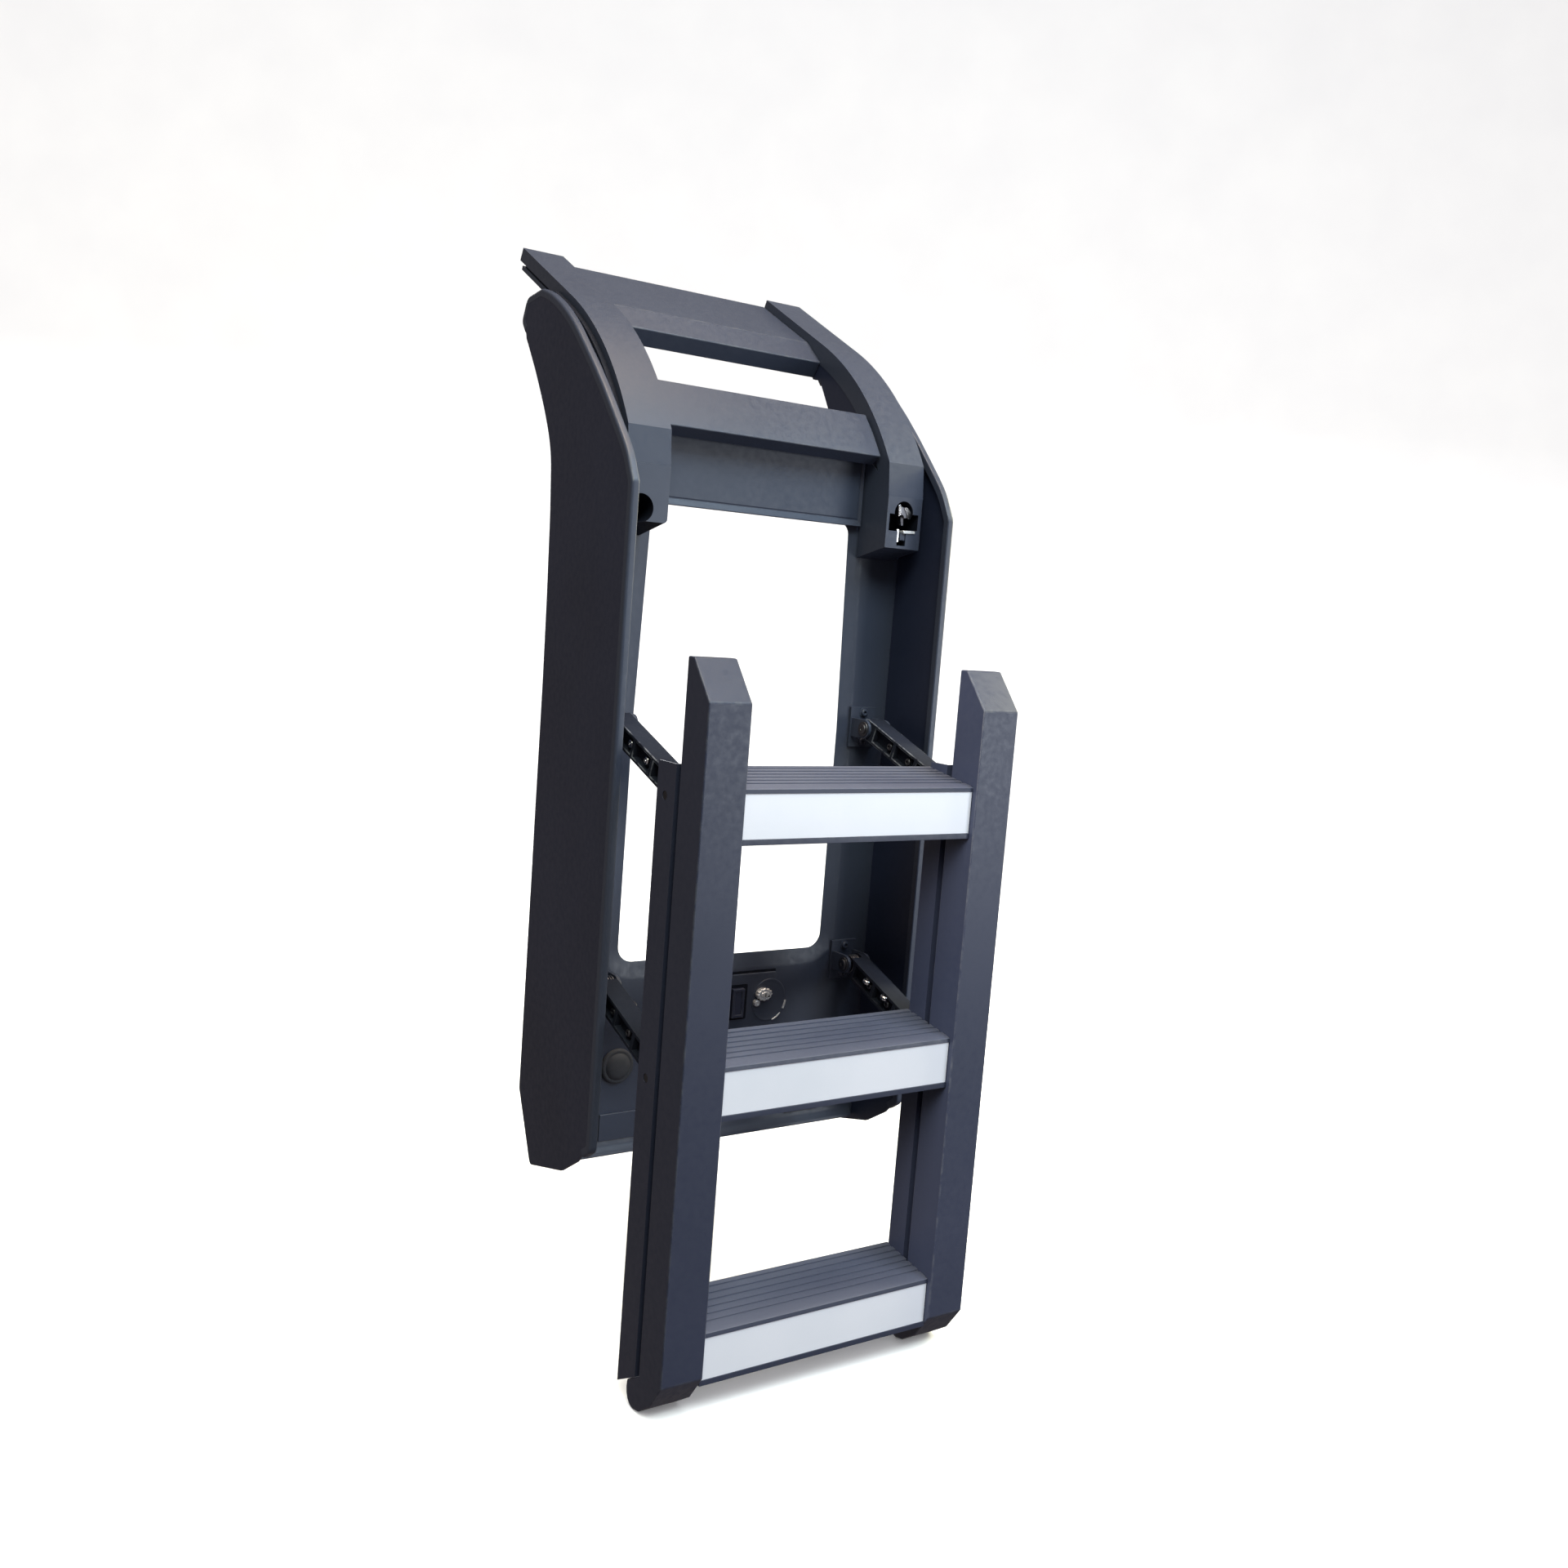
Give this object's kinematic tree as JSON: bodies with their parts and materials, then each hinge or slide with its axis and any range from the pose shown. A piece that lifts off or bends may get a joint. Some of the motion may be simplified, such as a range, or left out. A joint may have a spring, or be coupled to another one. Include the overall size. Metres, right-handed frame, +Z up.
{
  "type": "vehicle side ladder",
  "caption": "Vehicle side ladder: a curved wall frame with roof slats and a stepped ladder that folds down and out on parallel links.",
  "frame": {"origin": "middle of the upper mounting bar's rear face", "axes": "+X along the vehicle's side, +Y into the vehicle, +Z up"},
  "size_m": [0.456, 0.539, 1.3094],
  "materials": {
    "frame_coat": "satin powder coat, fine grain",
    "ladder_coat": "satin powder coat, fine grain",
    "cast_links": "coated die casting",
    "pin_steel": "turned steel",
    "black_steel": "blackened steel",
    "bright_metal": "bright plating",
    "rubber": "moulded rubber",
    "reflective_tape": "reflective sheeting, pale"
  },
  "bodies": {
    "frame": {"side_plate_left": "frame_coat", "side_plate_right": "frame_coat", "back_panel": "frame_coat", "cross_panel": "frame_coat", "curved_rail_left": "frame_coat", "curved_rail_right": "frame_coat", "rail_spacers": "frame_coat", "latch_block_left": "frame_coat", "latch_block_right": "frame_coat", "latch_hooks": "bright_metal", "upper_slat": "frame_coat", "lower_slat": "frame_coat", "upper_brackets": "cast_links", "lower_brackets": "cast_links", "upper_frame_pins": "pin_steel", "lower_frame_pins": "pin_steel", "pivot_springs": "pin_steel", "lock_case": "frame_coat", "lock_cylinder": "bright_metal", "bumpers": "rubber", "bumper_pads": "frame_coat", "upper_mount_bar": "frame_coat", "lower_mount_bar": "frame_coat"},
    "upper_links": {"upper_link_left": "cast_links", "upper_link_right": "cast_links"},
    "lower_links": {"lower_link_left": "cast_links", "lower_link_right": "cast_links"},
    "ladder": {"rail_left": "ladder_coat", "rail_right": "ladder_coat", "rail_channel_left": "ladder_coat", "rail_channel_right": "ladder_coat", "step_top": "ladder_coat", "step_middle": "ladder_coat", "step_bottom": "ladder_coat", "reflector_strips": "reflective_tape", "upper_ladder_pins": "black_steel", "lower_ladder_pins": "black_steel", "latch_studs": "pin_steel"}
  },
  "joints": [
    {"name": "fold", "type": "hinge", "parent": "frame", "child": "upper_links", "pos_m": [0, -0.134, -0.297], "axis": [-1, 0, 0], "range_deg": [0, 109]},
    {"name": "ladder_pivot", "type": "hinge", "parent": "upper_links", "child": "ladder", "pos_m": [0, -0.29334, -0.35626], "axis": [-1, 0, 0], "range_deg": [-109, 0]},
    {"name": "lower_fold", "type": "hinge", "parent": "frame", "child": "lower_links", "pos_m": [0, -0.134, -0.607], "axis": [-1, 0, 0], "range_deg": [0, 109]}
  ],
  "couplings": [
    {"joint": "ladder_pivot", "follows": "fold", "ratio": -1},
    {"joint": "lower_fold", "follows": "fold", "ratio": 1}
  ]
}
